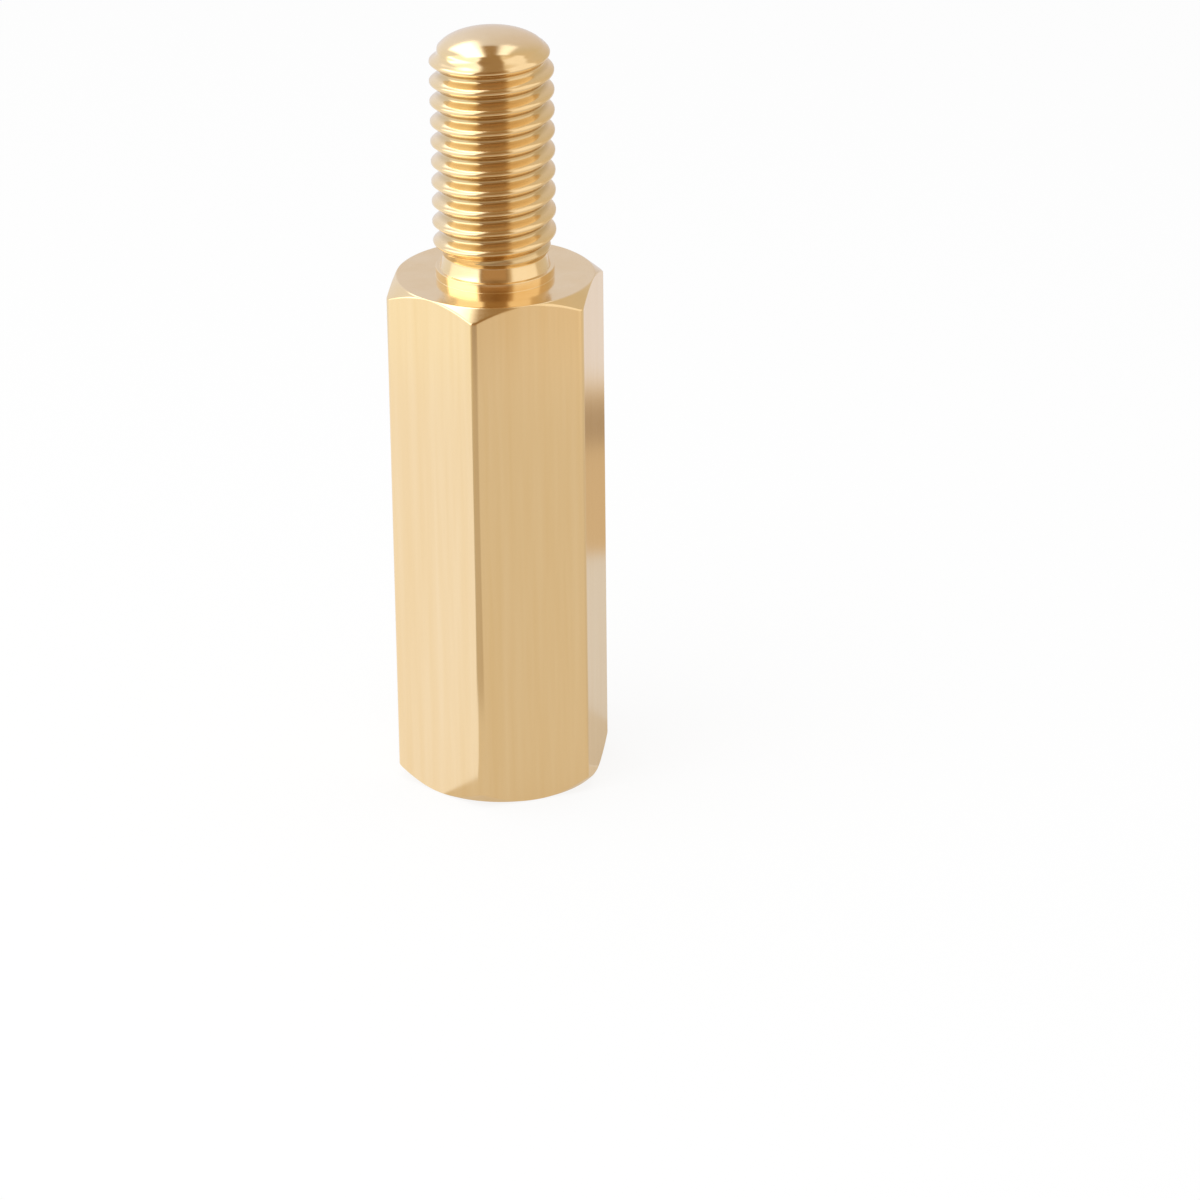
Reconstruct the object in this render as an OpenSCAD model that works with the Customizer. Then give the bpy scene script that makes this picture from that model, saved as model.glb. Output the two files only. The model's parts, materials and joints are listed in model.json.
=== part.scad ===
// Brass hex standoff with a threaded stud on one end and a tapped hole in the other.
// Millimetres, +Z along the axis towards the stud, origin at the middle of the base.
// The stud and the hole carry a metric M3 x 0.5 thread. The helix itself is too fine
// to be modelled here: the stud has its crest diameter, and the hole its tapping drill.

/* [Hex body] */
// Distance across the flats of the hexagon
across_flats = 4.8; // [4.4:0.1:7]
// Length of the hexagonal body
body_length = 13; // [11:0.5:50]
// How far each long corner is worn back from its sharp edge
corner_break = 0.02; // [0.01:0.01:0.15]
// Slope of the turned chamfer round the shoulder, from the flat end face
shoulder_chamfer_angle = 40; // [15:1:60]
// Slope of the turned chamfer round the base, from the flat end face
base_chamfer_angle = 45; // [15:1:60]

/* [Stud] */
// Length of the stud from the shoulder to the crown of its tip
stud_length = 6.1; // [4:0.1:14]
// Diameter over the crests of the thread
thread_d = 2.97; // [2.9:0.01:3]
// Diameter of the plain neck under the thread
neck_d = 2.56; // [2.4:0.01:2.7]
// Length of the plain neck, from the shoulder to the run-out of the thread
neck_length = 0.45; // [0.3:0.05:1]
// Radius of the fillet between the neck and the shoulder, which ends just clear of the crests
neck_fillet = 0.21; // [0.05:0.01:0.25]
// Slope of the run-out from the neck to the crests, from the axis
runout_angle = 45; // [30:1:60]
// Diameter of the rounded tip where the thread begins
tip_d = 2.64; // [2.3:0.01:2.8]
// Height of the crown of the tip
crown_height = 0.55; // [0.1:0.01:0.8]
// Slope of the lead-in from the tip to the crests, from the axis
lead_angle = 55; // [30:1:60]

/* [Tapped hole] */
// Diameter of the tapping drill
tap_drill_d = 2.5; // [2.4:0.01:2.6]
// Depth of the full-diameter hole from the base
hole_depth = 9; // [4:0.5:9.5]
// Point angle of the drill at the bottom of the hole
drill_point_angle = 118; // [90:1:140]
// Diameter of the countersunk mouth
countersink_d = 3.2; // [2.8:0.1:3.6]
// Full angle of the countersink
countersink_angle = 90; // [60:1:120]

/* [Hidden] */

// Number of chords in the outline of a quarter arc
arc_steps = 10;
// How far a cut runs past the face that it opens
past = 0.5;

// Radius of the circle that the turned chamfers leave on each end face
face_r = across_flats / 2;
// Radius over the long corners, as worn
corner_r = face_r / cos(30) - corner_break;
// Height of each chamfer at the corners
shoulder_chamfer_h = (corner_r - face_r) * tan(shoulder_chamfer_angle);
base_chamfer_h = (corner_r - face_r) * tan(base_chamfer_angle);

neck_r = neck_d / 2;
thread_r = thread_d / 2;
tip_r = tip_d / 2;
runout_h = (thread_r - neck_r) / tan(runout_angle);
lead_h = (thread_r - tip_r) / tan(lead_angle);

drill_r = tap_drill_d / 2;
mouth_r = countersink_d / 2;
drill_point_h = drill_r / tan(drill_point_angle / 2);
countersink_h = (mouth_r - drill_r) / tan(countersink_angle / 2);

// Quarter of an ellipse round [cx, cy], from the angle a0 to the angle a1
function quarter(cx, cy, rx, ry, a0, a1) = [
    for (i = [0:arc_steps])
        let (a = a0 + (a1 - a0) * i / arc_steps)
        [cx + rx * cos(a), cy + ry * sin(a)]
];

// Hexagonal bar with its long corners worn and both ends chamfered by turning
module hex_body() {
    intersection() {
        cylinder(h = body_length, r = face_r / cos(30), $fn = 6);
        rotate_extrude($fn = 96)
            polygon([
                [0, 0],
                [face_r, 0],
                [corner_r, base_chamfer_h],
                [corner_r, body_length - shoulder_chamfer_h],
                [face_r, body_length],
                [0, body_length]
            ]);
    }
}

// Stud turned on the end of the bar: neck, run-out, crest cylinder, lead-in and crown
module stud() {
    crown_z = stud_length - crown_height;
    translate([0, 0, body_length])
        rotate_extrude($fn = 96)
            polygon(concat(
                [[0, -past]],
                [[neck_r + neck_fillet, -past]],
                quarter(neck_r + neck_fillet, neck_fillet, neck_fillet, neck_fillet, 270, 180),
                [
                    [neck_r, neck_length],
                    [thread_r, neck_length + runout_h],
                    [thread_r, crown_z - lead_h]
                ],
                quarter(0, crown_z, tip_r, crown_height, 0, 90)
            ));
}

// Drilled and countersunk hole in the base, ready for its thread
module tapped_hole() {
    translate([0, 0, -past])
        cylinder(h = hole_depth + past, r = drill_r, $fn = 96);
    translate([0, 0, hole_depth])
        cylinder(h = drill_point_h, r1 = drill_r, r2 = 0, $fn = 96);
    translate([0, 0, -past])
        cylinder(
            h = countersink_h + past,
            r1 = mouth_r + past * tan(countersink_angle / 2),
            r2 = drill_r,
            $fn = 96
        );
}

// The whole standoff, turned from one length of bar
module hex_standoff() {
    color("#dcb77a")
        difference() {
            union() {
                hex_body();
                stud();
            }
            tapped_hole();
        }
}

hex_standoff();
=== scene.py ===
"""Male to female hex standoff in brass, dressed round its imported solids.

The part is one turned piece: a hexagonal body of drawn bar, a stud with a rolled
thread on top, and a countersunk, tapped hole in the base. It is made here as one
closed skin. Both threads are cut into that skin by one Geometry Nodes tree.

Lengths are millimetres until a mesh is made, and metres in Blender.
"""

import json
import logging
import math
from dataclasses import asdict, dataclass, field, fields
from enum import Enum
from typing import Any, ClassVar

import bpy
from mathutils import Matrix, Vector


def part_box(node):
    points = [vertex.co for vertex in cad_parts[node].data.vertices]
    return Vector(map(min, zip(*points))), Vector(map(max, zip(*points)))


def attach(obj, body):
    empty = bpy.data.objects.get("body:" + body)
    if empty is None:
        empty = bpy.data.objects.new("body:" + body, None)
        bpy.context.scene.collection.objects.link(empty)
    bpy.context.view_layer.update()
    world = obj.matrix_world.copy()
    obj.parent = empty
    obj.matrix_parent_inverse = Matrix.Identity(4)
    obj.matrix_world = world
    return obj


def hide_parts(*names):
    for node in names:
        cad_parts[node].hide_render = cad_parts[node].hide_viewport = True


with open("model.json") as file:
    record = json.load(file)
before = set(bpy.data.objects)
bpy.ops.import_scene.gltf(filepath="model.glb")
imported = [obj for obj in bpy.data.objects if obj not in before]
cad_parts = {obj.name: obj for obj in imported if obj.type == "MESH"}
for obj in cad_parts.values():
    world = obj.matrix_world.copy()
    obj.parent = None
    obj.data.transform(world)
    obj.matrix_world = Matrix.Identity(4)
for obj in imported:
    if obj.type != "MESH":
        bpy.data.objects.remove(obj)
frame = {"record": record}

MM = 0.001
TINY = 1e-6
NODE = "hex_standoff"
log = logging.getLogger("standoff")

Point = tuple[float, float, float]
Pair = tuple[float, float]
Tree = bpy.types.NodeTree
Outputs = bpy.types.NodeOutputs
# what may feed an input: an output, or a node for the first of its outputs
Source = bpy.types.NodeSocket | bpy.types.Node

MATH = "ShaderNodeMath"
VECTOR = "ShaderNodeVectorMath"
# input 0 is the value, 1 and 2 are its range, and 3 and 4 the new range
RANGE = "ShaderNodeMapRange"
# input 0 is the share, 2 and 3 are numbers, 6 and 7 colours; output 2 is the colour
MIX = "ShaderNodeMix"


class Zone(Enum):
    """Areas of the skin, by how each surface was made."""

    DRAWN = "drawn"
    TURNED = "turned"
    ROLLED = "rolled"
    TAPPED = "tapped"


class Side(Enum):
    """Which way a stretch of skin faces."""

    OUTSIDE = 1
    BORE = -1


def linear(colour: str) -> tuple[float, float, float, float]:
    """Turn an sRGB hex colour into linear light.

    Args:
        colour: Colour as "#rrggbb".

    Returns:
        Red, green and blue in linear light, and an alpha of one.
    """
    parts = [int(colour[i:i + 2], 16) / 255 for i in (1, 3, 5)]
    r, g, b = (c / 12.92 if c <= 0.04045 else ((c + 0.055) / 1.055) ** 2.4 for c in parts)
    return (r, g, b, 1.0)


def add_node(
    tree: Tree,
    kind: str,
    feeds: dict[str | int, Any] | None = None,
    **settings: Any,
) -> bpy.types.Node:
    """Add one node to a tree, with its settings, values and links.

    Args:
        tree: Tree that receives the node.
        kind: Blender's identifier of the node's type.
        feeds: For each input, by name or place, a value, or the output or node that
            feeds it.
        settings: Properties of the node.

    Returns:
        The new node.
    """
    node = tree.nodes.new(kind)
    for name, value in settings.items():
        setattr(node, name, value)
    for key, value in (feeds or {}).items():
        if isinstance(value, bpy.types.Node):
            tree.links.new(value.outputs[0], node.inputs[key])
        elif isinstance(value, bpy.types.NodeSocket):
            tree.links.new(value, node.inputs[key])
        else:
            node.inputs[key].default_value = value
    return node


def arc(start: Pair, corner: Pair, end: Pair, radius: float, steps: int) -> list[Pair]:
    """Round one corner of a profile with a tangent arc.

    Args:
        start: Point before the corner.
        corner: The sharp corner.
        end: Point after the corner.
        radius: Radius of the rounding.
        steps: Number of chords in the arc.

    Returns:
        The points of the arc, from the side of start to the side of end.
    """
    a = Vector(start) - Vector(corner)
    b = Vector(end) - Vector(corner)
    a.normalize()
    b.normalize()
    half = a.angle(b) / 2
    reach = radius / math.tan(half)
    centre = Vector(corner) + (a + b).normalized() * (radius / math.sin(half))
    first = Vector(corner) + a * reach - centre
    last = Vector(corner) + b * reach - centre
    sweep = first.angle_signed(last)
    points = []
    for i in range(steps + 1):
        spoke = first.copy()
        spoke.rotate(Matrix.Rotation(-sweep * i / steps, 2))
        points.append(tuple(centre + spoke))
    return points


class Skin:
    """Closed skin, grown ring by ring round the upright axis.

    It is smooth shaded. Beside each rounding lies a guard, a very narrow row of faces
    that keeps the surface next to it looking flat.
    """

    def __init__(self) -> None:
        """Start with no points and no faces."""
        self.points: list[Point] = []
        self.faces: list[tuple[int, ...]] = []
        self.zones: list[Zone] = []

    def ring(self, points: list[Point]) -> list[int]:
        """Add a ring of points.

        Args:
            points: Points in order of their angle, in millimetres.

        Returns:
            The numbers of the new points.
        """
        first = len(self.points)
        self.points.extend(points)
        return list(range(first, first + len(points)))

    def row(self, angles: list[float], places: list[Pair]) -> list[int]:
        """Add a ring whose points each have a radius and a height of their own.

        Args:
            angles: Angle of each point, in radians.
            places: Radius and height of each point.

        Returns:
            The numbers of the new points.
        """
        return self.ring([
            (r * math.cos(a), r * math.sin(a), h) for a, (r, h) in zip(angles, places)
        ])

    def circle(self, angles: list[float], radius: float, height: float) -> list[int]:
        """Add a level ring of one radius.

        Args:
            angles: Angle of each point, in radians.
            radius: Radius of the ring.
            height: Height of the ring.

        Returns:
            The numbers of the new points.
        """
        return self.row(angles, [(radius, height)] * len(angles))

    def face(self, corners: tuple[int, ...], zone: Zone, side: Side) -> None:
        """Add one face, turned so that it looks out of the metal.

        Args:
            corners: Points of the face, anticlockwise as seen from outside the body.
            zone: Area that the face belongs to.
            side: Which way the surface looks.
        """
        self.faces.append(corners if side is Side.OUTSIDE else corners[::-1])
        self.zones.append(zone)

    def bridge(
        self, below: list[int], above: list[int], zone: Zone, side: Side = Side.OUTSIDE
    ) -> list[int]:
        """Join two rings that have the same number of points.

        Args:
            below: Ring that comes first along the profile.
            above: Ring that comes next.
            zone: Area that the faces belong to.
            side: Which way the surface looks.

        Returns:
            The ring above, ready for the next call.
        """
        count = len(below)
        for i in range(count):
            j = (i + 1) % count
            self.face((below[i], below[j], above[j], above[i]), zone, side)
        return above

    def zip_rings(self, below: list[int], above: list[int], zone: Zone) -> list[int]:
        """Join two rings that have different numbers of points, with triangles.

        Args:
            below: Ring that comes first along the profile.
            above: Ring that comes next.
            zone: Area that the faces belong to.

        Returns:
            The ring above, ready for the next call.
        """
        turn = [self._angles(below), self._angles(above)]
        i = j = 0
        while i < len(below) or j < len(above):
            a, b = below[i % len(below)], above[j % len(above)]
            if j == len(above) or (i < len(below) and turn[0][i + 1] <= turn[1][j + 1]):
                i += 1
                self.face((a, below[i % len(below)], b), zone, Side.OUTSIDE)
            else:
                j += 1
                self.face((a, above[j % len(above)], b), zone, Side.OUTSIDE)
        return above

    def _angles(self, ring: list[int]) -> list[float]:
        """Angle of each point of a ring from its first, and one whole turn at the end.

        Args:
            ring: Numbers of the ring's points.

        Returns:
            The angles, from 0, in radians.
        """
        base = math.atan2(self.points[ring[0]][1], self.points[ring[0]][0])
        turns = [
            (math.atan2(self.points[i][1], self.points[i][0]) - base) % math.tau for i in ring
        ]
        return [0.0, *turns[1:], math.tau]

    def close(self, ring: list[int], height: float, zone: Zone, side: Side) -> None:
        """Close a ring with a fan to a point on the axis.

        Args:
            ring: Ring to close.
            height: Height of the point on the axis.
            zone: Area that the faces belong to.
            side: Which way the surface looks.
        """
        tip = self.ring([(0.0, 0.0, height)])[0]
        for i, a in enumerate(ring):
            self.face((a, ring[(i + 1) % len(ring)], tip), zone, side)


@dataclass(frozen=True)
class Thread:
    """Right-hand metric thread. Each of its sizes is an input of its tree.

    Both ends are heights, and the thread fades out over a length before each.
    """

    pitch: float
    core_radius: float
    depth: float
    phase: float
    crest_share: float
    root_share: float
    rounding: float
    low_end: float
    low_fade: float
    high_end: float
    high_fade: float
    cut_outward_only: bool

    UNITLESS: ClassVar[tuple[str, ...]] = (
        "phase", "crest_share", "root_share", "rounding", "cut_outward_only"
    )

    def inputs(self) -> dict[str, float | bool]:
        """Values for the inputs of the thread tree.

        Returns:
            Each value by the name of its input, in metres where it is a length.
        """
        return {
            self.label(size): value if size in self.UNITLESS else value * MM
            for size, value in asdict(self).items()
        }

    @staticmethod
    def label(size: str) -> str:
        """Name of the input for a size, such as "Core radius" for core_radius."""
        return size.replace("_", " ").capitalize()


class ThreadTree:
    """Geometry Nodes tree that presses a helical thread into a round wall."""

    KINDS: ClassVar[dict[type, str]] = {float: "NodeSocketFloat", bool: "NodeSocketBool"}

    def __init__(self) -> None:
        """Build the tree with its named inputs."""
        self.tree = bpy.data.node_groups.new("helical_thread", "GeometryNodeTree")
        interface = self.tree.interface
        kinds = {Thread.label(size.name): self.KINDS[size.type] for size in fields(Thread)}
        kinds |= {"Wall": "NodeSocketString", "Finish": "NodeSocketMaterial"}
        interface.new_socket("Geometry", in_out="INPUT", socket_type="NodeSocketGeometry")
        self.sockets = {
            name: interface.new_socket(name, in_out="INPUT", socket_type=kind).identifier
            for name, kind in kinds.items()
        }
        interface.new_socket("Geometry", in_out="OUTPUT", socket_type="NodeSocketGeometry")
        self._build()

    def _build(self) -> None:
        """Fill the tree: how far out each point of the wall goes, and its finish."""
        tree = self.tree
        given = add_node(tree, "NodeGroupInput").outputs
        place = add_node(tree, "GeometryNodeInputPosition")
        axes = add_node(tree, "ShaderNodeSeparateXYZ", {0: place}).outputs
        flat = add_node(tree, "ShaderNodeCombineXYZ", {"X": axes["X"], "Y": axes["Y"], "Z": 0.0})
        radius = add_node(tree, VECTOR, {0: flat}, operation="LENGTH").outputs["Value"]
        wanted = add_node(
            tree, MATH,
            {0: self._height(given, axes), 1: given["Depth"], 2: given["Core radius"]},
            operation="MULTIPLY_ADD",
        )
        reach = self._reach(given, axes["Z"])
        pressed = add_node(tree, MIX, {0: reach, 2: radius, 3: wanted})
        kept = add_node(tree, MATH, {0: pressed, 1: radius}, operation="MAXIMUM")
        final = add_node(
            tree, "GeometryNodeSwitch",
            {"Switch": given["Cut outward only"], "False": pressed, "True": kept},
            input_type="FLOAT",
        )
        out = add_node(tree, VECTOR, {0: flat}, operation="NORMALIZE")
        further = add_node(tree, MATH, {0: final, 1: radius}, operation="SUBTRACT")
        step = add_node(tree, VECTOR, {0: out, "Scale": further}, operation="SCALE")
        wall = add_node(
            tree, "GeometryNodeInputNamedAttribute", {"Name": given["Wall"]}, data_type="BOOLEAN"
        ).outputs["Attribute"]
        moved = add_node(
            tree, "GeometryNodeSetPosition",
            {"Geometry": given["Geometry"], "Selection": wall, "Offset": step},
        )
        real = add_node(tree, "GeometryNodeRealizeInstances", {0: moved})
        dressed = add_node(
            tree, "GeometryNodeSetMaterial",
            {"Geometry": real, "Selection": wall, "Material": given["Finish"]},
        )
        add_node(tree, "NodeGroupOutput", {0: dressed})

    def _height(self, given: Outputs, axes: Outputs) -> Source:
        """Height of the thread's form at a point, from 0 in a root to 1 on a crest.

        Args:
            given: The tree's inputs.
            axes: X, Y and Z of the point.

        Returns:
            What carries the height.
        """
        tree = self.tree
        angle = add_node(tree, MATH, {0: axes["Y"], 1: axes["X"]}, operation="ARCTAN2")
        turn = add_node(tree, MATH, {0: angle, 1: math.tau}, operation="DIVIDE")
        climb = add_node(tree, MATH, {0: axes["Z"], 1: given["Pitch"]}, operation="DIVIDE")
        along = add_node(tree, MATH, {0: climb, 1: turn}, operation="SUBTRACT")
        along = add_node(tree, MATH, {0: along, 1: given["Phase"]}, operation="SUBTRACT")
        # 0 on the middle of a crest and 0.5 in the middle of a root
        ahead = add_node(tree, MATH, {0: along, 1: 0.5}, operation="ADD")
        centred = add_node(tree, MATH, {0: ahead}, operation="FRACT")
        off = add_node(tree, MATH, {0: centred, 1: 0.5}, operation="SUBTRACT")
        off = add_node(tree, MATH, {0: off}, operation="ABSOLUTE")
        crest = add_node(tree, MATH, {0: given["Crest share"], 1: 0.5}, operation="MULTIPLY")
        root = add_node(
            tree, MATH, {0: given["Root share"], 1: -0.5, 2: 0.5}, operation="MULTIPLY_ADD"
        )
        ramps = [
            add_node(
                tree, RANGE, {0: off, 1: crest, 2: root, 3: 1.0, 4: 0.0}, interpolation_type=kind
            )
            for kind in ("LINEAR", "SMOOTHSTEP")
        ]
        return add_node(tree, MIX, {0: given["Rounding"], 2: ramps[0], 3: ramps[1]})

    def _reach(self, given: Outputs, rise: Source) -> Source:
        """How far the thread is pressed at a height, from 0 past its ends to 1.

        Args:
            given: The tree's inputs.
            rise: Height of the point.

        Returns:
            What carries the share.
        """
        tree = self.tree
        full = add_node(tree, MATH, {0: given["Low end"], 1: given["Low fade"]}, operation="ADD")
        fading = add_node(
            tree, MATH, {0: given["High end"], 1: given["High fade"]}, operation="SUBTRACT"
        )
        low = add_node(
            tree, RANGE, {0: rise, 1: given["Low end"], 2: full, 3: 0.0, 4: 1.0},
            interpolation_type="SMOOTHSTEP",
        )
        high = add_node(
            tree, RANGE, {0: rise, 1: fading, 2: given["High end"], 3: 1.0, 4: 0.0},
            interpolation_type="SMOOTHSTEP",
        )
        return add_node(tree, MATH, {0: low, 1: high}, operation="MULTIPLY")

    def attach(
        self, piece: bpy.types.Object, wall: str, thread: Thread, finish: bpy.types.Material
    ) -> None:
        """Put the tree on a piece with the numbers of one thread.

        Args:
            piece: Object that gets the modifier.
            wall: Name of the attribute that marks the wall.
            thread: Sizes of the thread.
            finish: Material of the threaded wall.
        """
        modifier = piece.modifiers.new(wall, "NODES")
        modifier.node_group = self.tree
        values = {**thread.inputs(), "Wall": wall, "Finish": finish}
        for name, value in values.items():
            modifier[self.sockets[name]] = value


@dataclass(frozen=True)
class Brass:
    """Free-cutting brass, bright and unplated; a subclass adds how it was worked."""

    name: str
    colour: str = "#f4dcb2"
    dull: str = "#eed09c"
    roughness: float = 0.2
    spread: float = 0.06
    bump_mm: float = 0.0005
    cloud_mm: Point = (0.9, 0.9, 0.9)
    dull_share: float = 0.6

    def marks(self, tree: Tree, place: Source) -> Source:
        """Pattern left by the tool, from 0 to 1; a subclass draws it.

        Args:
            tree: Tree of the material.
            place: Object coordinates, in metres.

        Returns:
            What carries the pattern.
        """
        raise NotImplementedError

    def tint(self, tree: Tree, place: Source, colour: Source) -> Source:
        """Change the colour from place to place; here it stays as it is.

        Args:
            tree: Tree of the material.
            place: Object coordinates, in metres.
            colour: What carries the colour of the clean metal.

        Returns:
            What carries the colour to use.
        """
        return colour

    def radius(self, tree: Tree, place: Source) -> Source:
        """Distance of a place from the upright axis.

        Args:
            tree: Tree of the material.
            place: Object coordinates, in metres.

        Returns:
            What carries the distance.
        """
        across = add_node(tree, VECTOR, {0: place, 1: (1.0, 1.0, 0.0)}, operation="MULTIPLY")
        return add_node(tree, VECTOR, {0: across}, operation="LENGTH").outputs["Value"]

    def spots(self, tree: Tree, place: Source, size_mm: Point, detail: float) -> Source:
        """Soft noise, from 0 to 1, stretched to a size.

        Args:
            tree: Tree of the material.
            place: Object coordinates, in metres.
            size_mm: Width, depth and height of a spot.
            detail: How many finer layers are added.

        Returns:
            What carries the noise.
        """
        scale = tuple(1 / (size * MM) for size in size_mm)
        scaled = add_node(tree, "ShaderNodeMapping", {"Vector": place, "Scale": scale})
        return add_node(
            tree, "ShaderNodeTexNoise",
            {"Vector": scaled, "Scale": 1.0, "Detail": detail, "Roughness": 0.6},
        )

    def material(self) -> bpy.types.Material:
        """Build the material.

        Returns:
            The material, with colour, roughness and relief from the tool marks.
        """
        material = bpy.data.materials.new(self.name)
        material.use_nodes = True
        tree = material.node_tree
        tree.nodes.clear()
        place = add_node(tree, "ShaderNodeTexCoord").outputs["Object"]
        marks = self.marks(tree, place)
        # faint unevenness of handled brass; most of the noise lies within 0.3 and 0.7
        cloud = self.spots(tree, place, self.cloud_mm, 4.0)
        tone = add_node(tree, RANGE, {0: cloud, 1: 0.3, 2: 0.7, 3: 0.0, 4: self.dull_share})
        colour = add_node(
            tree, MIX, {0: tone, 6: linear(self.colour), 7: linear(self.dull)},
            data_type="RGBA",
        ).outputs[2]
        rough = add_node(
            tree, RANGE,
            {0: marks, 1: 0.0, 2: 1.0, 3: self.roughness - self.spread,
             4: self.roughness + self.spread},
        )
        relief = add_node(
            tree, "ShaderNodeBump",
            {"Height": marks, "Distance": self.bump_mm * MM, "Strength": 1.0},
        )
        shader = add_node(
            tree, "ShaderNodeBsdfPrincipled",
            {"Base Color": self.tint(tree, place, colour), "Metallic": 1.0,
             "Roughness": rough, "Normal": relief},
        )
        add_node(tree, "ShaderNodeOutputMaterial", {"Surface": shader})
        return material


class DrawnBrass(Brass):
    """Cold-drawn bar: the die leaves fine straight lines along the length."""

    def marks(self, tree: Tree, place: Source) -> Source:
        """Die lines about 0.05 mm apart and many millimetres long."""
        return self.spots(tree, place, (0.05, 0.05, 4.0), 3.0)


class TurnedBrass(Brass):
    """Faces cut on a lathe: fine concentric rings left by the tool's feed."""

    feed_mm: ClassVar[float] = 0.04

    def marks(self, tree: Tree, place: Source) -> Source:
        """Rings round the axis, one to each turn of the work.

        Args:
            tree: Tree of the material.
            place: Object coordinates, in metres.

        Returns:
            What carries the rings.
        """
        rise = add_node(tree, "ShaderNodeSeparateXYZ", {0: place}).outputs["Z"]
        # out and up together, so that faces and cylinders alike have rings
        feed = add_node(tree, MATH, {0: self.radius(tree, place), 1: rise}, operation="ADD")
        return add_node(
            tree, "ShaderNodeTexNoise",
            {"W": feed, "Scale": 1 / (self.feed_mm * MM), "Detail": 2.0, "Roughness": 0.5},
            noise_dimensions="1D",
        )


@dataclass(frozen=True, kw_only=True)
class RolledBrass(Brass):
    """Thread pressed between dies: burnished smooth, with faint lines round it.

    The roots are painted darker than the crests, as painted shade in the hollows of the thread.
    It is full at one radius, gone at another, and ends at a height.
    """

    shade_mm: float
    unshaded_mm: float
    shade_top_mm: float
    # colour of the painted shade in the thread roots
    film: str = "#d8bf94"
    fade_mm: float = 0.25

    def marks(self, tree: Tree, place: Source) -> Source:
        """Faint lines about 0.06 mm apart, round the axis."""
        return self.spots(tree, place, (0.5, 0.5, 0.06), 3.0)

    def tint(self, tree: Tree, place: Source, colour: Source) -> Source:
        """Darken the roots of the thread with painted shade.

        Args:
            tree: Tree of the material.
            place: Object coordinates, in metres.
            colour: What carries the colour of the clean metal.

        Returns:
            What carries the colour to use.
        """
        rise = add_node(tree, "ShaderNodeSeparateXYZ", {0: place}).outputs["Z"]
        unshaded, past = (
            add_node(tree, RANGE, {0: value, 1: start * MM, 2: end * MM, 3: 0.0, 4: 1.0})
            for value, start, end in (
                (self.radius(tree, place), self.shade_mm, self.unshaded_mm),
                (rise, self.shade_top_mm - self.fade_mm, self.shade_top_mm),
            )
        )
        unshaded = add_node(tree, MATH, {0: unshaded, 1: past}, operation="MAXIMUM")
        # painted shade: the roots take the shade colour, and the rest keeps the metal's colour
        return add_node(
            tree, MIX, {0: unshaded, 6: linear(self.film), 7: colour}, data_type="RGBA"
        ).outputs[2]


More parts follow.
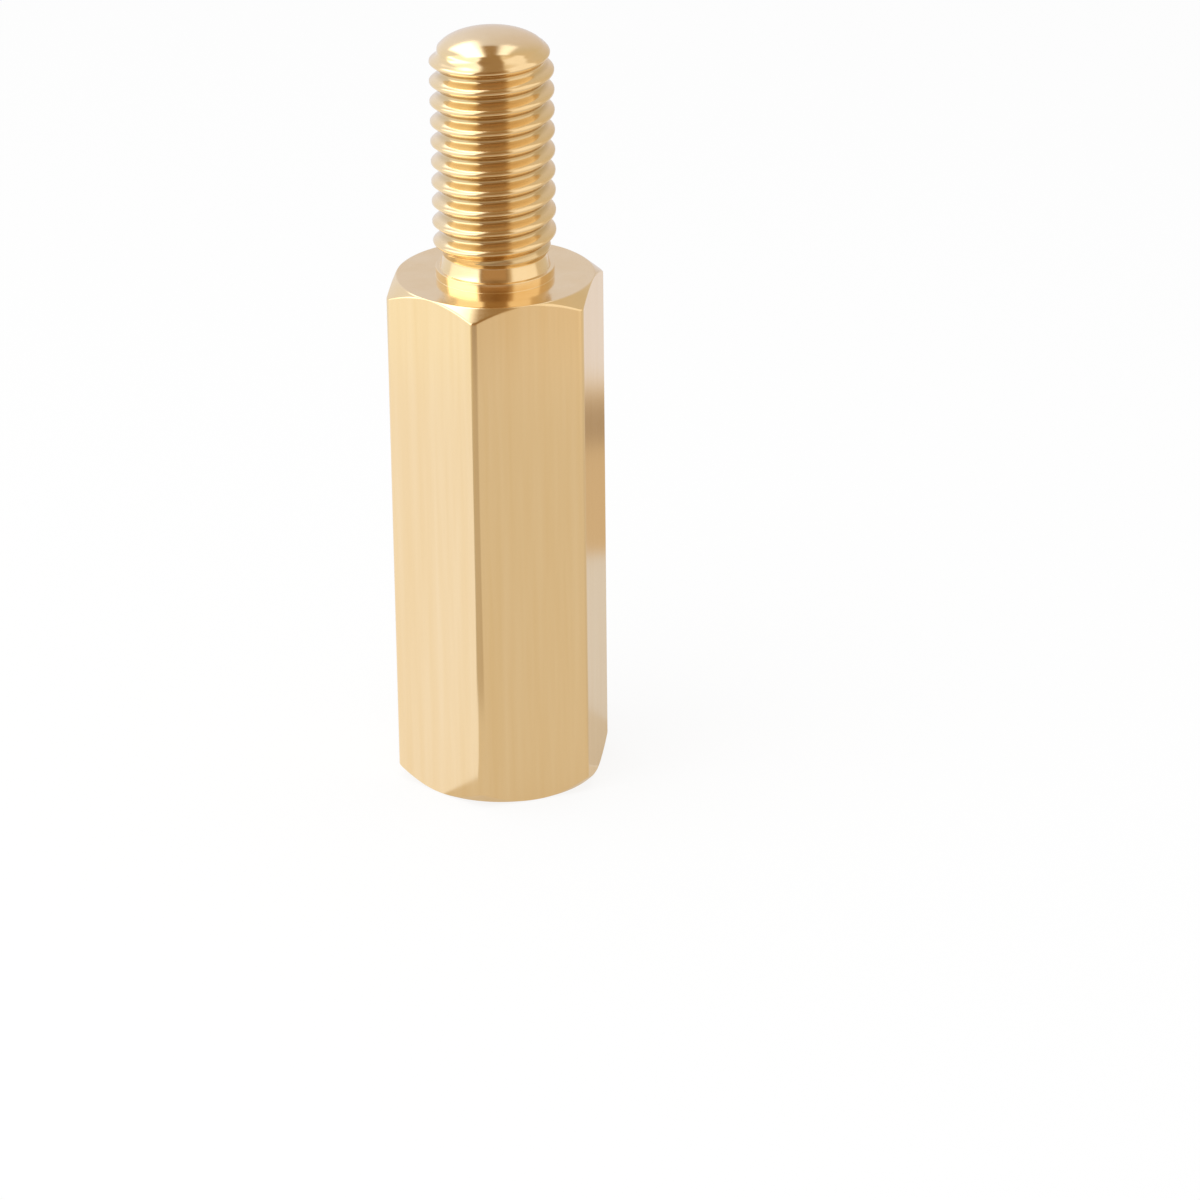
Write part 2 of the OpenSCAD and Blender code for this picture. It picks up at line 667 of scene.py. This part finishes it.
@dataclass
class HexBody:
    """Hexagonal body: drawn flats, rounded long corners, turned chamfers and faces."""

    across_flats: float
    length: float
    corner_round: float = 0.2
    face_inset: float = 0.01
    shoulder_slope: float = 40.0
    base_slope: float = 45.0
    edge_round: float = 0.08
    guard: float = 0.014
    arc_steps: int = 7
    flat_steps: int = 20
    edge_steps: int = 4
    face_ring: float = 2.1
    wall_shares: Point = (0.25, 0.5, 0.75)
    wall: list[Pair] = field(init=False, default_factory=list)

    def __post_init__(self) -> None:
        """Work out the columns of points: angle and radius of the wall at each."""
        half = self.across_flats / 2
        centre = (half - self.corner_round) / math.cos(math.radians(30))
        # one sixth of the wall: a rounded corner, then a flat that starts and ends in a guard
        sector: list[Pair] = []
        for i in range(self.arc_steps + 1):
            lean = math.radians(-30 + 60 * i / self.arc_steps)
            x = centre + self.corner_round * math.cos(lean)
            y = self.corner_round * math.sin(lean)
            sector.append((math.atan2(y, x), math.hypot(x, y)))
        across = math.radians(30) - sector[-1][0]
        inner = across - self.guard / half * math.cos(across) ** 2
        stops = [inner * (1 - 2 * i / self.flat_steps) for i in range(self.flat_steps + 1)]
        sector += [(math.radians(30) - s, half / math.cos(s)) for s in stops]
        for k in range(6):
            turn = math.radians(60 * k)
            self.wall += [(turn + angle, radius) for angle, radius in sector]

    def edge_rows(self, radius: float, slope: float) -> list[Pair]:
        """Profile of one chamfered end at one column.

        Args:
            radius: Radius of the wall there.
            slope: Slope of the chamfer, in degrees from the end face.

        Returns:
            Radius and depth below the end face, from the wall to the face.
        """
        face = self.across_flats / 2 - self.face_inset
        drop = (radius - face) * math.tan(math.radians(slope))
        length = math.hypot(radius - face, drop)
        upper = math.tan(math.radians(slope) / 2)
        lower = math.tan(math.radians(90 - slope) / 2)
        # the two roundings leave a twentieth of a short chamfer between them
        rounding = min(self.edge_round, 0.95 * length / (upper + lower))
        wall_arc = arc((radius, drop + 1), (radius, drop), (face, 0), rounding, self.edge_steps)
        face_arc = arc((radius, drop), (face, 0), (face - 1, 0), rounding, self.edge_steps)
        r0, d0 = wall_arc[-1]
        r1, d1 = face_arc[0]
        # a guard at each end of the slope, of three tenths of it at most
        near = min(self.guard / max(math.hypot(r1 - r0, d1 - d0), TINY), 0.3)
        between = [(r0 + (r1 - r0) * s, d0 + (d1 - d0) * s) for s in (near, 0.5, 1 - near)]
        before = (radius, wall_arc[0][1] + self.guard)
        after = (face_arc[-1][0] - self.guard, 0.0)
        return [before, *wall_arc, *between, *face_arc, after]

    def grow(self, skin: Skin, mouth: list[int]) -> list[int]:
        """Add the base face, the walls and the shoulder to the skin.

        Args:
            skin: Skin that the rings are added to.
            mouth: Ring round the mouth of the hole, in the base face.

        Returns:
            The innermost ring of the body's own columns, on the shoulder.
        """
        angles = [a for a, _ in self.wall]
        base, top = (
            [self.edge_rows(radius, slope) for _, radius in self.wall]
            for slope in (self.base_slope, self.shoulder_slope)
        )
        ring = skin.zip_rings(mouth, skin.circle(angles, self.face_ring, 0.0), Zone.TURNED)
        for row in reversed(range(len(base[0]))):
            places = [end[row] for end in base]
            ring = skin.bridge(ring, skin.row(angles, places), self._edge_zone(row))
        for share in self.wall_shares:
            places = [(radius, self.length * share) for _, radius in self.wall]
            ring = skin.bridge(ring, skin.row(angles, places), Zone.DRAWN)
        for row in range(len(top[0])):
            places = [(end[row][0], self.length - end[row][1]) for end in top]
            ring = skin.bridge(ring, skin.row(angles, places), self._edge_zone(row - 1))
        return skin.bridge(ring, skin.circle(angles, self.face_ring, self.length), Zone.TURNED)

    def _edge_zone(self, row: int) -> Zone:
        """Zone of the faces between one row of an end's profile and the next."""
        return Zone.DRAWN if row <= self.edge_steps // 2 else Zone.TURNED


@dataclass
class Stud:
    """Stud on the shoulder: ledge, tapering foot, neck, rolled thread and domed tip.

    The crest, collar, flare, neck, blank, tip and core are radii. What ends in top, low
    or high is a height above the shoulder.
    """

    shoulder: float
    length: float
    crest: float
    collar: float = 1.43
    collar_top: float = 0.225
    flare: float = 1.335
    flare_top: float = 0.54
    edge_round: float = 0.015
    waist_round: float = 0.3
    neck: float = 1.25
    neck_top: float = 0.5
    ramp_low: float = 0.6
    ramp_high: float = 0.8
    blank: float = 1.335
    lead: float = 0.1
    tip: float = 1.32
    crown: float = 0.55
    rolled_crown: float = 0.15
    core: float = 1.26
    pitch: float = 0.5
    # where the painted shade in the thread roots is full, how wide it fades, and where it ends
    shade_full: float = 0.01
    shade_width: float = 0.1
    shade_top: float = 5.4
    guard: float = 0.012
    face_ring: float = 1.9
    columns: int = 160
    thread_rows: int = 24
    arc_steps: int = 4
    dome_rings: int = 26
    dome_end: float = 89.0

    def thread(self) -> Thread:
        """Sizes of the stud's thread, with its run-out and lead-in.

        Returns:
            The thread.
        """
        return Thread(
            pitch=self.pitch,
            core_radius=self.core,
            depth=self.crest - self.core,
            phase=0.275,
            crest_share=0.1,
            root_share=0.12,
            rounding=0.6,
            low_end=self.shoulder + 0.5,
            low_fade=0.44,
            high_end=self.shoulder + 5.81,
            high_fade=0.5,
            cut_outward_only=False,
        )

    def finish(self) -> RolledBrass:
        """Finish of the thread, with painted shade in its roots.

        Returns:
            The finish.
        """
        full = self.core + self.shade_full
        return RolledBrass(
            name="rolled_brass_thread",
            roughness=0.14,
            spread=0.04,
            shade_mm=full,
            unshaded_mm=full + self.shade_width,
            shade_top_mm=self.shoulder + self.shade_top,
        )

    def foot(self) -> list[Pair]:
        """Profile of the foot: the ledge, the taper above it and the start of the neck.

        Returns:
            Radius and height of each ring.
        """
        rim, nook = (self.collar, self.collar_top), (self.flare, self.collar_top)
        waist = (self.neck, self.flare_top)
        base = [(self.collar + self.guard, 0.0), (self.collar, 0.0), (self.collar, self.guard)]
        ledge = arc((self.collar, 0), rim, nook, self.edge_round, self.arc_steps)
        taper = arc(rim, nook, waist, self.edge_round, self.arc_steps)
        neck = arc(nook, waist, (self.neck, 1), self.waist_round, self.arc_steps)
        (r0, h0), (r1, h1) = taper[-1], neck[0]
        return [*base, *ledge, *taper, ((r0 + r1) / 2, (h0 + h1) / 2), *neck]

    def profile(self, height: float) -> float:
        """Radius of the blank, before rolling.

        Args:
            height: Height above the shoulder.

        Returns:
            The radius there.
        """
        crown_z = self.length - self.crown
        if height < self.ramp_low:
            return self.neck
        if height < self.ramp_high:
            share = (height - self.ramp_low) / (self.ramp_high - self.ramp_low)
            return self.neck + (self.blank - self.neck) * share
        if height < crown_z - self.lead:
            return self.blank
        if height < crown_z:
            share = (height - crown_z + self.lead) / self.lead
            return self.blank + (self.tip - self.blank) * share
        return self.tip * math.sqrt(max(0.0, 1 - ((height - crown_z) / self.crown) ** 2))

    def grow(self, skin: Skin, outer: list[int]) -> None:
        """Add the shoulder's inner part, the stud and its tip to the skin.

        Args:
            skin: Skin that the rings are added to.
            outer: Ring on the shoulder that the stud's own columns join.
        """
        angles = [math.tau * i / self.columns for i in range(self.columns)]
        inner = skin.circle(angles, self.face_ring, self.shoulder)
        ring = skin.zip_rings(outer, inner, Zone.TURNED)
        foot = self.foot()
        for radius, height in foot:
            place = self.shoulder + height
            ring = skin.bridge(ring, skin.circle(angles, radius, place), Zone.TURNED)
        height = foot[-1][1] + self.guard
        crown_z = self.length - self.crown
        while height < crown_z + self.rolled_crown:
            place = self.shoulder + height
            zone = Zone.TURNED if height < self.neck_top else Zone.ROLLED
            ring = skin.bridge(ring, skin.circle(angles, self.profile(height), place), zone)
            height += self.pitch / self.thread_rows
        start = math.asin((height - crown_z) / self.crown)
        for i in range(self.dome_rings):
            lean = start + (math.radians(self.dome_end) - start) * i / (self.dome_rings - 1)
            place = self.shoulder + crown_z + self.crown * math.sin(lean)
            level = skin.circle(angles, self.tip * math.cos(lean), place)
            ring = skin.bridge(ring, level, Zone.TURNED)
        skin.close(ring, self.shoulder + self.length, Zone.TURNED, Side.OUTSIDE)


@dataclass
class TappedHole:
    """Blind hole in the base: countersunk mouth, tapped wall and drill point."""

    drill: float
    depth: float = 9.0
    mouth: float = 1.6
    mouth_ring: float = 1.66
    edge_round: float = 0.03
    point_angle: float = 118.0
    cone_shares: Point = (0.3, 0.6, 0.9)
    thread_depth: float = 0.25
    pitch: float = 0.5
    # width of the painted shade in the roots of the hole's thread
    shade_width: float = 0.12
    guard: float = 0.01
    columns: int = 120
    thread_rows: int = 12
    arc_steps: int = 3

    def thread(self) -> Thread:
        """Sizes of the hole's thread, which ends short of the drill point.

        Returns:
            The thread.
        """
        return Thread(
            pitch=self.pitch,
            core_radius=self.drill,
            depth=self.thread_depth,
            phase=0.0,
            crest_share=0.15,
            root_share=0.2,
            rounding=0.4,
            low_end=-1.0,
            low_fade=0.2,
            high_end=8.4,
            high_fade=0.6,
            cut_outward_only=True,
        )

    def finish(self) -> RolledBrass:
        """Finish of the thread, duller than a rolled one, with painted shade in its roots.

        Returns:
            The finish.
        """
        root = self.drill + self.thread_depth
        return RolledBrass(
            name="tapped_brass_hole",
            roughness=0.3,
            spread=0.08,
            shade_mm=root,
            unshaded_mm=root - self.shade_width,
            shade_top_mm=self.depth + self.pitch,
        )

    def grow(self, skin: Skin) -> list[int]:
        """Add the hole to the skin.

        Args:
            skin: Skin that the rings are added to.

        Returns:
            The ring round the mouth, in the base face.
        """
        angles = [math.tau * i / self.columns for i in range(self.columns)]
        waist = (self.drill, self.mouth - self.drill)
        lip = arc((self.mouth + 1, 0), (self.mouth, 0), waist, self.edge_round, self.arc_steps)
        mouth = skin.circle(angles, self.mouth_ring, 0.0)
        ring = mouth
        for radius, height in lip:
            ring = skin.bridge(ring, skin.circle(angles, radius, height), Zone.TURNED, Side.BORE)
        height = lip[-1][1] + self.guard
        while height < self.depth - self.guard:
            radius = max(self.drill, self.mouth - height)
            ring = skin.bridge(ring, skin.circle(angles, radius, height), Zone.TAPPED, Side.BORE)
            height += self.pitch / self.thread_rows
        ring = skin.bridge(
            ring, skin.circle(angles, self.drill, self.depth), Zone.TURNED, Side.BORE
        )
        cone = self.drill / math.tan(math.radians(self.point_angle / 2))
        for share in self.cone_shares:
            level = skin.circle(angles, self.drill * (1 - share), self.depth + cone * share)
            ring = skin.bridge(ring, level, Zone.TURNED, Side.BORE)
        skin.close(ring, self.depth + cone, Zone.TURNED, Side.BORE)
        return mouth


@dataclass
class Standoff:
    """The whole part: one closed skin with both threads and its four finishes."""

    body: HexBody
    stud: Stud
    hole: TappedHole
    name: str = "turned_standoff"

    def build(self) -> bpy.types.Object:
        """Make the piece, cut its threads and put it on the frame.

        Returns:
            The finished piece.
        """
        skin = Skin()
        mouth = self.hole.grow(skin)
        shoulder = self.body.grow(skin, mouth)
        self.stud.grow(skin, shoulder)
        finishes = self.finishes()
        draft = self._mesh(skin, finishes)
        tree = ThreadTree()
        tree.attach(draft, "stud_wall", self.stud.thread(), finishes[Zone.ROLLED])
        tree.attach(draft, "hole_wall", self.hole.thread(), finishes[Zone.TAPPED])
        piece = self._converted(draft)
        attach(piece, "root")
        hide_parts(NODE)
        return piece

    def finishes(self) -> dict[Zone, bpy.types.Material]:
        """Build the four finishes of the brass.

        Returns:
            The material of each zone.
        """
        drawn = DrawnBrass("drawn_brass_bar", roughness=0.17, cloud_mm=(0.3, 0.3, 9.0))
        turned = TurnedBrass("turned_brass", roughness=0.13, spread=0.04)
        return {
            Zone.DRAWN: drawn.material(),
            Zone.TURNED: turned.material(),
            Zone.ROLLED: self.stud.finish().material(),
            Zone.TAPPED: self.hole.finish().material(),
        }

    def _mesh(self, skin: Skin, finishes: dict[Zone, bpy.types.Material]) -> bpy.types.Object:
        """Turn the skin into an object, with its finishes and the marks for the threads.

        Args:
            skin: The closed skin, in millimetres.
            finishes: Material of each zone.

        Returns:
            The object, with both walls still plain.
        """
        mesh = bpy.data.meshes.new("standoff_draft")
        mesh.from_pydata([tuple(c * MM for c in p) for p in skin.points], [], skin.faces)
        mesh.validate()
        order = list(Zone)
        for zone in order:
            mesh.materials.append(finishes[zone])
        mesh.polygons.foreach_set("material_index", [order.index(z) for z in skin.zones])
        mesh.polygons.foreach_set("use_smooth", [True] * len(mesh.polygons))
        for name, zone in (("stud_wall", Zone.ROLLED), ("hole_wall", Zone.TAPPED)):
            marks = mesh.attributes.new(name, "BOOLEAN", "FACE")
            marks.data.foreach_set("value", [z is zone for z in skin.zones])
        draft = bpy.data.objects.new("standoff_draft", mesh)
        bpy.context.scene.collection.objects.link(draft)
        return draft

    def _converted(self, draft: bpy.types.Object) -> bpy.types.Object:
        """Turn the evaluated draft into a plain mesh object and remove the draft.

        Args:
            draft: Object with its live modifiers.

        Returns:
            The plain piece.
        """
        graph = bpy.context.evaluated_depsgraph_get()
        mesh = bpy.data.meshes.new_from_object(draft.evaluated_get(graph), depsgraph=graph)
        bpy.data.objects.remove(draft)
        mesh.name = self.name
        piece = bpy.data.objects.new(self.name, mesh)
        bpy.context.scene.collection.objects.link(piece)
        return piece


class Layout(Enum):
    """How a panel's two angles are measured.

    ROUND takes the bearing round the object and the height above the horizon. ARCH
    takes the lean to the right and the way up and over from the camera's side.
    """

    ROUND = "round"
    ARCH = "arch"


@dataclass(frozen=True)
class Panel:
    """One soft area of the surroundings, as bright metal sees it, in degrees.

    Bearings and leans are to the right of the camera, as seen from the object. The
    half width narrows by the taper for each degree along.
    """

    layout: Layout
    centre: float
    half_width: float
    low: float
    high: float
    colour: str
    level: float = 1.0
    feather: float = 8.0
    taper: float = 0.0


@dataclass
class Studio:
    """Camera, pale floor and soft light. Angles are in degrees."""

    camera_bearing: float = -108.1565
    elevation: float = 21.9091
    distance: float = 121.783
    aim_height: float = 9.0
    yaw: float = 1.1318
    pitch: float = 2.0006
    roll: float = 1.0405
    lens: float = 149.774
    floor_radius: float = 1200.0
    floor_gap: float = 0.02
    floor_sides: int = 96
    floor_glow: float = 0.85
    fill: float = 0.8
    lamp_place: Point = (-50.0, -20.0, 120.0)
    lamp_size: float = 120.0
    lamp_watts: float = 0.07
    ring_level: float = 1.15
    ring: tuple[tuple[float, str], ...] = (
        (-180, "#d6d4dc"),
        (-160, "#e3e6f4"),
        (-110, "#e7e8ea"),
        (-90, "#f9f8f3"),
        (-56, "#fcfdf2"),
        (-46, "#efe3cc"),
        (-37, "#c2ab89"),
        (-29, "#967b5e"),
        (0, "#80623e"),
        (23, "#92744f"),
        (30, "#b89f7c"),
        (36, "#dcc9ae"),
        (62, "#e6d6be"),
        (90, "#d1bfa3"),
        (130, "#cbc1b0"),
        (160, "#d1cbcd"),
    )
    panels: tuple[Panel, ...] = (
        Panel(Layout.ROUND, -2, 25, -7, 15, "#a5835c", 1.22, 6),
        Panel(Layout.ROUND, -70, 36, -5, 70, "#fffdf8", 1.4, 9),
        Panel(Layout.ROUND, -70, 34, 10, 30, "#fffffd", 2.6, 9),
        Panel(Layout.ROUND, 66, 30, -5, 60, "#fff6e8", 1.08, 9),
        Panel(Layout.ARCH, -1, 28, 45, 124, "#a38660", 1.0, 7, 0.18),
        Panel(Layout.ARCH, -22, 13, 84, 138, "#ffffff", 2.6, 9),
        Panel(Layout.ARCH, 13, 6, 92, 126, "#ffffff", 1.4, 7),
        Panel(Layout.ROUND, 0, 180, -90, -16, "#f6f4f6", 1.09, 3),
        Panel(Layout.ROUND, 20, 60, -90, -16, "#ddcfba", 1.0, 3),
        Panel(Layout.ROUND, -18, 38, -46, -15, "#c0ae92", 1.0, 8),
        Panel(Layout.ROUND, 110, 30, -90, -16, "#d4c6b2", 1.0, 3),
        Panel(Layout.ROUND, 150, 26, -90, -31, "#dcd5ce", 1.0, 4),
        Panel(Layout.ROUND, 154, 16, -18.5, -8, "#eee8ec", 0.97, 2),
        Panel(Layout.ROUND, 154, 16, -32.5, -18.5, "#d6b47e", 0.92, 2),
        Panel(Layout.ROUND, 154, 16, -22.2, -19.4, "#a17f4b", 1.0, 1.8),
    )

    # a panel whose edge is at one of these angles has no edge there
    OPEN_ENDS: ClassVar[Pair] = (-90, 180)

    def add_camera(self) -> None:
        """Place the camera by its bearing, height and small turns off the axis."""
        rise = math.radians(self.elevation)
        place = Vector((0, -self.distance * math.cos(rise), 0))
        place.z = self.aim_height + self.distance * math.sin(rise)
        level = Matrix((
            (1, 0, 0),
            (0, math.sin(rise), math.cos(rise)),
            (0, -math.cos(rise), math.sin(rise)),
        ))
        turn = (
            Matrix.Rotation(math.radians(self.roll), 3, "Z")
            @ Matrix.Rotation(math.radians(self.pitch), 3, "X")
            @ Matrix.Rotation(math.radians(self.yaw), 3, "Y")
            @ level
        )
        swing = Matrix.Rotation(math.radians(self.camera_bearing + 90), 3, "Z")
        data = bpy.data.cameras.new("camera")
        data.lens = self.lens
        data.sensor_width = 36
        data.clip_start = 0.005
        data.clip_end = 5
        camera = bpy.data.objects.new("camera", data)
        bpy.context.scene.collection.objects.link(camera)
        pose = (swing @ turn.transposed()).to_4x4()
        pose.translation = swing @ place * MM
        camera.matrix_world = pose
        bpy.context.scene.camera = camera
        log.info("camera: %.0f mm away, %.1f mm lens", self.distance, self.lens)

    def surroundings(self) -> Tree:
        """Build the node group that says what bright metal sees in a direction.

        Returns:
            A group with a direction as its input and a colour as its output.
        """
        tree = bpy.data.node_groups.new("studio_surroundings", "ShaderNodeTree")
        tree.interface.new_socket("Direction", in_out="INPUT", socket_type="NodeSocketVector")
        tree.interface.new_socket("Colour", in_out="OUTPUT", socket_type="NodeSocketColor")
        given = add_node(tree, "NodeGroupInput")
        turned = add_node(
            tree, "ShaderNodeVectorRotate",
            {"Vector": given, "Angle": -math.radians(self.camera_bearing)},
            rotation_type="Z_AXIS",
        )
        unit = add_node(tree, VECTOR, {0: turned}, operation="NORMALIZE")
        # X points at the camera's side, Y to its right and Z up
        axes = add_node(tree, "ShaderNodeSeparateXYZ", {0: unit}).outputs
        bearing = add_node(tree, MATH, {0: axes["Y"], 1: axes["X"]}, operation="ARCTAN2")
        rise = add_node(tree, MATH, {0: axes["Z"]}, operation="ARCSINE")
        lean = add_node(tree, MATH, {0: axes["Y"]}, operation="ARCSINE")
        over = add_node(tree, MATH, {0: axes["Z"], 1: axes["X"]}, operation="ARCTAN2")
        colour = self._ring_colour(tree, bearing)
        for panel in self.panels:
            across, along = (bearing, rise) if panel.layout is Layout.ROUND else (lean, over)
            mask = self._mask(tree, panel, across, along)
            tint = [c * panel.level for c in linear(panel.colour)[:3]] + [1.0]
            mixed = add_node(tree, MIX, {0: mask, 6: colour, 7: tint}, data_type="RGBA")
            colour = mixed.outputs[2]
        add_node(tree, "NodeGroupOutput", {0: colour})
        return tree

    def _ring_colour(self, tree: Tree, bearing: Source) -> Source:
        """Colour of the ring of soft light at a bearing.

        Args:
            tree: Tree that receives the nodes.
            bearing: Bearing from the camera's side, in radians.

        Returns:
            What carries the colour.
        """
        part = add_node(
            tree, MATH, {0: bearing, 1: 1 / math.tau, 2: 0.5}, operation="MULTIPLY_ADD"
        )
        ramp = add_node(tree, "ShaderNodeValToRGB", {0: part})
        stops = ramp.color_ramp.elements
        for degrees, tint in (*self.ring, (180, self.ring[0][1])):
            place = degrees / 360 + 0.5
            stop = stops.new(place) if 0 < place < 1 else stops[-round(place)]
            stop.color = linear(tint)
        return add_node(tree, VECTOR, {0: ramp, "Scale": self.ring_level}, operation="SCALE")

    def _mask(self, tree: Tree, panel: Panel, across: Source, along: Source) -> Source:
        """How much of a panel is seen in a direction, from 0 to 1.

        Args:
            tree: Tree that receives the nodes.
            panel: The panel.
            across: The panel's first angle, in radians.
            along: The panel's second angle, in radians.

        Returns:
            What carries the share.
        """
        centre = math.radians(panel.centre)
        off = add_node(tree, MATH, {0: across, 1: centre}, operation="SUBTRACT")
        off = add_node(tree, MATH, {0: off, 1: math.pi, 2: -math.pi}, operation="WRAP")
        off = add_node(tree, MATH, {0: off}, operation="ABSOLUTE")
        if panel.taper:
            off = add_node(
                tree, MATH, {0: along, 1: panel.taper, 2: off}, operation="MULTIPLY_ADD"
            )
        mask: Any = 1.0
        soft = panel.feather / 2
        for angle, edge, inside in (
            (off, panel.half_width, -1), (along, panel.low, 1), (along, panel.high, -1)
        ):
            if edge in self.OPEN_ENDS:
                continue
            share = add_node(
                tree, RANGE,
                {0: angle, 1: math.radians(edge - soft), 2: math.radians(edge + soft),
                 3: float(inside < 0), 4: float(inside > 0)},
                interpolation_type="SMOOTHSTEP",
            )
            mask = add_node(tree, MATH, {0: share, 1: mask}, operation="MULTIPLY")
        return mask

    def _seen(self, tree: Tree, surroundings: Tree, way: Source) -> tuple[Source, Source]:
        """What a ray meets: white for the camera, the soft panels for bright metal.

        Args:
            tree: Tree that receives the nodes.
            surroundings: Group that gives the colour of each direction.
            way: Direction from the object.

        Returns:
            What carries the colour, and what is one on the rays that look at it.
        """
        seen = add_node(tree, "ShaderNodeGroup", {0: way}, node_tree=surroundings)
        path = add_node(tree, "ShaderNodeLightPath").outputs
        glossy = path["Is Glossy Ray"]
        colour = add_node(
            tree, MIX, {0: glossy, 6: linear("#ffffff"), 7: seen}, data_type="RGBA"
        ).outputs[2]
        looks = add_node(tree, MATH, {0: path["Is Camera Ray"], 1: glossy}, operation="MAXIMUM")
        looks = add_node(
            tree, MATH, {0: looks, 1: path["Is Transmission Ray"]}, operation="MAXIMUM"
        )
        return colour, looks

    def add_world(self, surroundings: Tree) -> None:
        """White for the camera, the soft panels for bright metal, even light for the rest.

        Args:
            surroundings: Group that gives the colour of each direction.
        """
        world = bpy.data.worlds.new("studio")
        bpy.context.scene.world = world
        world.use_nodes = True
        tree = world.node_tree
        tree.nodes.clear()
        way = add_node(tree, "ShaderNodeTexCoord").outputs["Generated"]
        colour, looks = self._seen(tree, surroundings, way)
        sky = add_node(tree, "ShaderNodeBackground", {"Color": colour, "Strength": 1.0})
        plain = add_node(
            tree, "ShaderNodeBackground", {"Color": linear("#ffffff"), "Strength": self.fill}
        )
        mixed = add_node(tree, "ShaderNodeMixShader", {0: looks, 1: plain, 2: sky})
        add_node(tree, "ShaderNodeOutputWorld", {"Surface": mixed})

    def add_floor(self, surroundings: Tree) -> None:
        """Lay a plain pale floor that keeps the soft shadow.

        Args:
            surroundings: Group that gives the colour of each direction.
        """
        mesh = bpy.data.meshes.new("studio_floor")
        radius = self.floor_radius * MM
        turns = [math.tau * i / self.floor_sides for i in range(self.floor_sides)]
        rim = [(radius * math.cos(a), radius * math.sin(a), 0) for a in turns]
        mesh.from_pydata(rim, [], [tuple(range(self.floor_sides))])
        material = bpy.data.materials.new("pale_floor")
        material.use_nodes = True
        tree = material.node_tree
        tree.nodes.clear()
        place = add_node(tree, "ShaderNodeTexCoord").outputs["Object"]
        middle = (0, 0, self.aim_height * MM)
        way = add_node(tree, VECTOR, {0: place, 1: middle}, operation="SUBTRACT")
        colour, looks = self._seen(tree, surroundings, way)
        glow = add_node(tree, "ShaderNodeEmission", {"Color": colour, "Strength": 1.0})
        paint = add_node(tree, "ShaderNodeBsdfDiffuse", {"Color": linear("#f4f4f4")})
        share = add_node(tree, MATH, {0: looks, 1: self.floor_glow}, operation="MULTIPLY")
        mixed = add_node(tree, "ShaderNodeMixShader", {0: share, 1: paint, 2: glow})
        # clear from underneath, so that the base and its hole can be seen
        under = add_node(tree, "ShaderNodeNewGeometry").outputs["Backfacing"]
        clear = add_node(tree, "ShaderNodeBsdfTransparent")
        whole = add_node(tree, "ShaderNodeMixShader", {0: under, 1: mixed, 2: clear})
        add_node(tree, "ShaderNodeOutputMaterial", {"Surface": whole})
        mesh.materials.append(material)
        floor = bpy.data.objects.new("studio_floor", mesh)
        floor.location.z = -self.floor_gap * MM
        bpy.context.scene.collection.objects.link(floor)

    def add_lamp(self) -> None:
        """Hang one large soft lamp above, for the shadow on the floor."""
        data = bpy.data.lights.new("overhead_softbox", "AREA")
        data.shape = "DISK"
        data.size = self.lamp_size * MM
        data.energy = self.lamp_watts
        lamp = bpy.data.objects.new("overhead_softbox", data)
        lamp.location = Vector(self.lamp_place) * MM
        lamp.rotation_mode = "QUATERNION"
        lamp.rotation_quaternion = Vector(self.lamp_place).to_track_quat("Z", "Y")
        lamp.visible_glossy = False
        lamp.visible_camera = False
        bpy.context.scene.collection.objects.link(lamp)


def main() -> None:
    """Build the studio and the part, and log the camera and the part's faces."""
    logging.basicConfig(level=logging.INFO, format="%(name)s: %(message)s")
    scene = bpy.context.scene
    scene.view_settings.view_transform = "Standard"
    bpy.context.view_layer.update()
    low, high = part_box(NODE)
    mounts = {m["name"]: m for m in frame["record"]["mounts"]}
    shoulder = mounts["shoulder_face"]["pos_m"][2] / MM
    studio = Studio()
    studio.add_camera()
    surroundings = studio.surroundings()
    studio.add_world(surroundings)
    studio.add_floor(surroundings)
    studio.add_lamp()
    standoff = Standoff(
        body=HexBody(across_flats=(high.y - low.y) / MM, length=shoulder),
        stud=Stud(
            shoulder=shoulder,
            length=(high.z - low.z) / MM - shoulder,
            crest=mounts["stud"]["dims"]["r_mm"],
        ),
        hole=TappedHole(drill=mounts["tapped_hole"]["dims"]["r_mm"]),
    )
    mesh = standoff.build().data
    log.info("%s: %d faces, %d finishes", standoff.name, len(mesh.polygons), len(mesh.materials))


if __name__ == "__main__":
    main()
